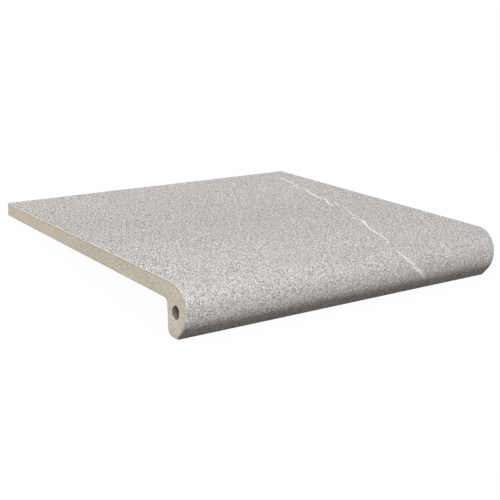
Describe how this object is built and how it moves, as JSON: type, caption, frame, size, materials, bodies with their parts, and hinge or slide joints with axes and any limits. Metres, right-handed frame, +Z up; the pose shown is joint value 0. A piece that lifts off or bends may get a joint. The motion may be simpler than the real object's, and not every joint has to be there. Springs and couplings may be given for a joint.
{
  "type": "stair nosing tile",
  "caption": "Ceramic stair tread tile whose flat plate runs out into a rounded, cored nose with an undercut lip that hangs over the front edge of a step.",
  "frame": {"origin": "middle of the floor area that the lying tile covers, at floor level", "axes": "+X along the nose, +Y from the nose to the back edge, +Z up from the floor on which the tile lies on its heel and its back foot"},
  "size_m": [0.33, 0.3206, 0.0438],
  "materials": {
    "stoneware": "matt grey stone-look glaze on the tread and nose, bare beige fired body elsewhere"
  },
  "bodies": {
    "root": {"nosing_tile": "stoneware"}
  },
  "joints": []
}
